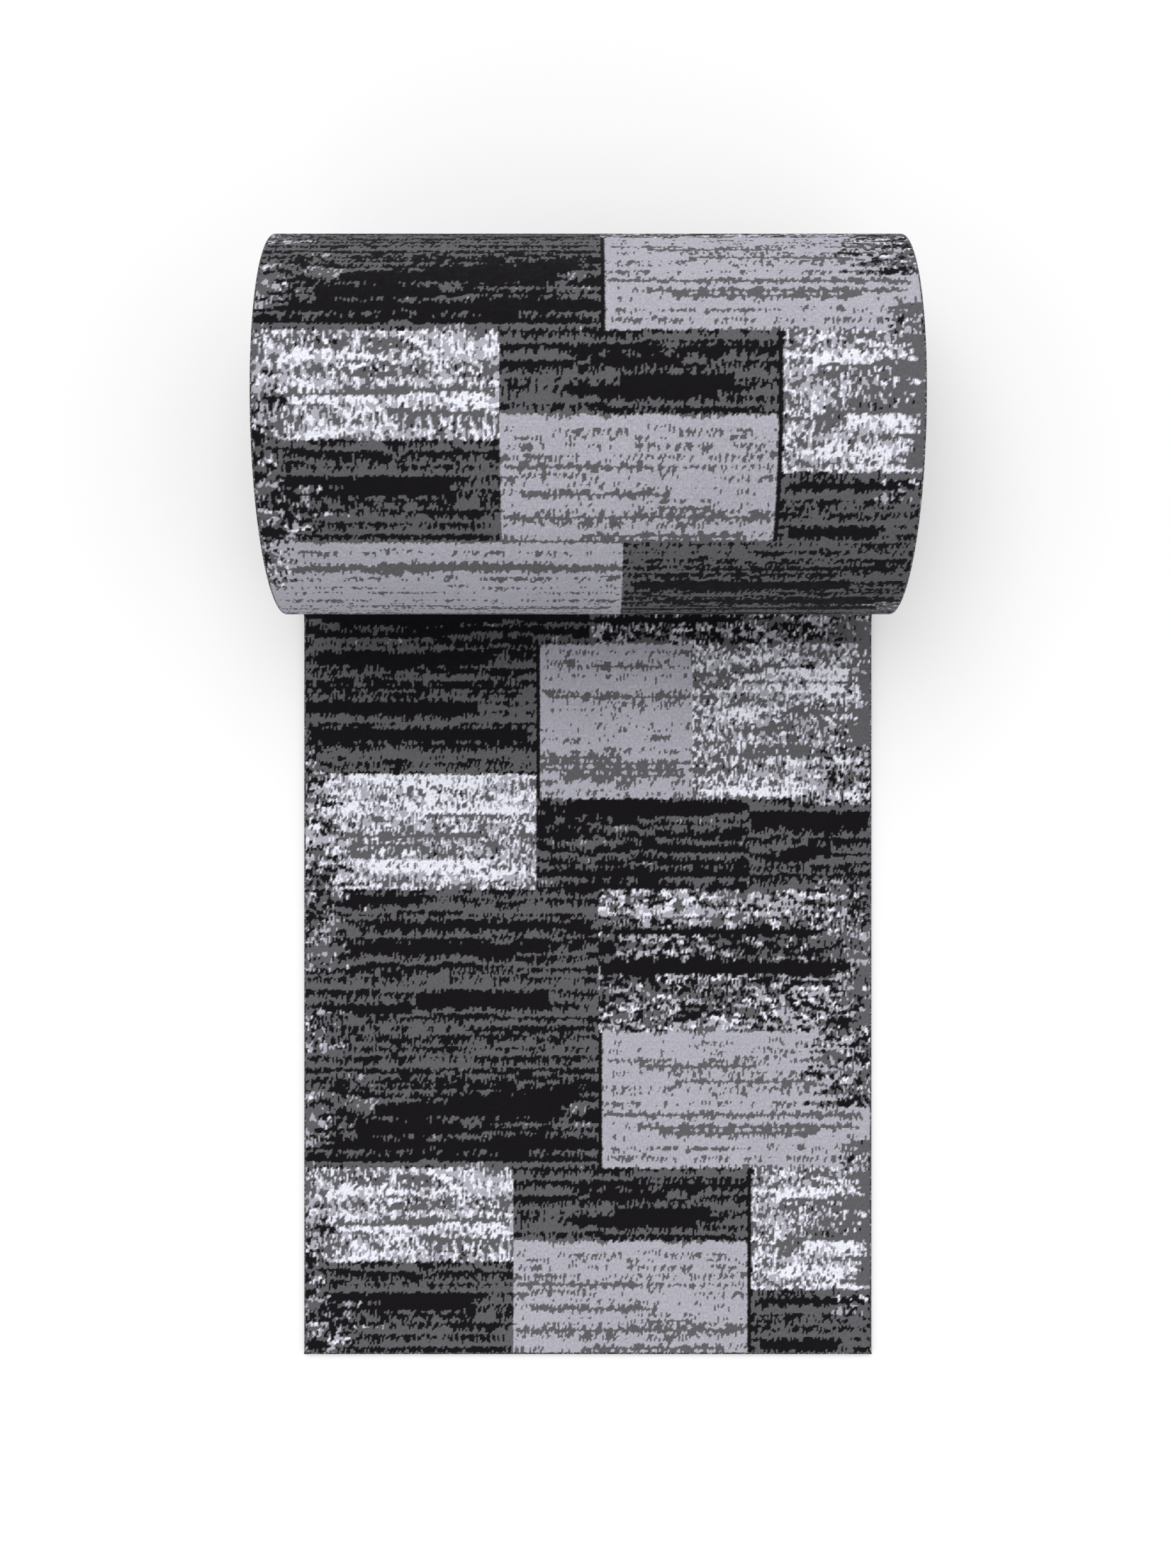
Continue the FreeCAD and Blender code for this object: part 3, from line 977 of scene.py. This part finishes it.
# The outermost turn's three parts, and what each rests on.
OUTER_PARTS = {"roll_near": "wound_backing_cloth", "roll_far": "wound_backing_cloth",
               "roll_under": "floor"}
TURN_ROWS = [ROLL_ROW + (WOUND_ROW - ROLL_ROW) * part // 3 for part in range(4)]

flat_stretches()
textile("tail", TAIL_ROW, ROLL_ROW, ["tail"], "draped", ["floor"], ride_roll)
for part, (label, under) in enumerate(OUTER_PARTS.items()):
    textile(label, *TURN_ROWS[part:part + 2], ["outer_turn"], "draped", [under], ride_roll)
wound_turns()

binding = end_serging("free_end_serging")
dress(binding, "serging_yarn")
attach(binding, "panel_4")
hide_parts("end_binding")
dress(frame["nodes"]["core_tube"], "tube_board")


# ---------------------------------------------------------------- floor, light and camera
def floor_look():
    look = Material("floor_paper", Roughness=0.9, Specular_IOR_Level=0.1)
    place = look.node("ShaderNodeTexCoord").outputs["Object"]
    faint = look.noise(place, (0.8, 0.8, 1), detail=2, low=0.995, high=1.005)
    colour = look.node("ShaderNodeRGB")
    colour.outputs[0].default_value = FLOOR_COLOUR
    return look.finish(look.shade(colour.outputs[0], faint), faint, 0.0, 1 * MM)


def lay_floor():
    """A wide round floor just under the runner."""
    radius, sides = 40.0, 96
    turns = [math.tau * side / sides for side in range(sides)]
    rim = [(radius * math.cos(turn), radius * math.sin(turn), 0) for turn in turns]
    mesh = bpy.data.meshes.new("floor")
    mesh.from_pydata(rim, [], [tuple(range(sides))])
    floor = bpy.data.objects.new("floor", mesh)
    floor.location.z = -1.0 * MM
    mesh.materials.append(floor_look())
    bpy.context.scene.collection.objects.link(floor)


def soft_light(name, place, aim, spread_deg, strength):
    """A distant, very broad light, as from a large softbox."""
    data = bpy.data.lights.new(name, "SUN")
    data.angle = math.radians(spread_deg)
    data.energy = strength
    light = bpy.data.objects.new(name, data)
    light.location = place
    light.rotation_euler = (Vector(aim) - Vector(place)).to_track_quat("-Z", "Y").to_euler()
    bpy.context.scene.collection.objects.link(light)


def light_room():
    world = bpy.data.worlds.new("studio")
    world.use_nodes = True
    backdrop = world.node_tree.nodes["Background"]
    backdrop.inputs["Color"].default_value = (1.0, 1.0, 1.0, 1)
    backdrop.inputs["Strength"].default_value = 0.75
    bpy.context.scene.world = world
    soft_light("overhead", (-0.4, 1.7, 3.9), (0, 0, 0), 50, 1.24)


def point_camera():
    data = bpy.data.cameras.new("camera")
    data.sensor_width = 36
    data.lens = 42.2
    camera = bpy.data.objects.new("camera", data)
    camera.location = (-3.3 * MM, 47 * MM, 2.599)
    bpy.context.scene.collection.objects.link(camera)
    bpy.context.scene.camera = camera


lay_floor()
light_room()
point_camera()
bpy.context.scene.view_settings.view_transform = "Standard"
